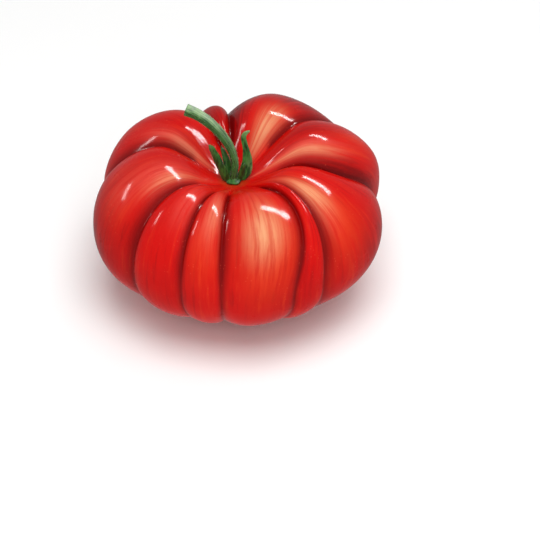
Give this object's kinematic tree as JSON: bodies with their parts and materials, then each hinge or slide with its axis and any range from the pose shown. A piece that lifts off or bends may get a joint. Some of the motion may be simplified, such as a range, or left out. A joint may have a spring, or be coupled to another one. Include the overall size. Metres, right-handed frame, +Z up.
{
  "type": "tomato",
  "caption": "Large ribbed beefsteak tomato with unequal lobes around a deep stem basin, with its green calyx and a bent length of cut stem.",
  "frame": {"origin": "centre of the part's width and depth, on the surface that it rests on", "axes": "+Z up through the stem basin, +X to the fruit's right seen from the front and along its greatest width, the front faces -Y"},
  "size_m": [0.1158, 0.1136, 0.0836],
  "materials": {
    "tomato_skin": "smooth, glossy and thinly waxy ripe skin, scarlet with darker red clefts and orange to peach flushes on the shoulders",
    "calyx_green": "matt, finely hairy dark green sepals",
    "stem_green": "matt light green stem with fine hairs and a pale cut end"
  },
  "bodies": {
    "root": {"fruit": "tomato_skin", "calyx": "calyx_green", "stem": "stem_green"}
  },
  "joints": []
}
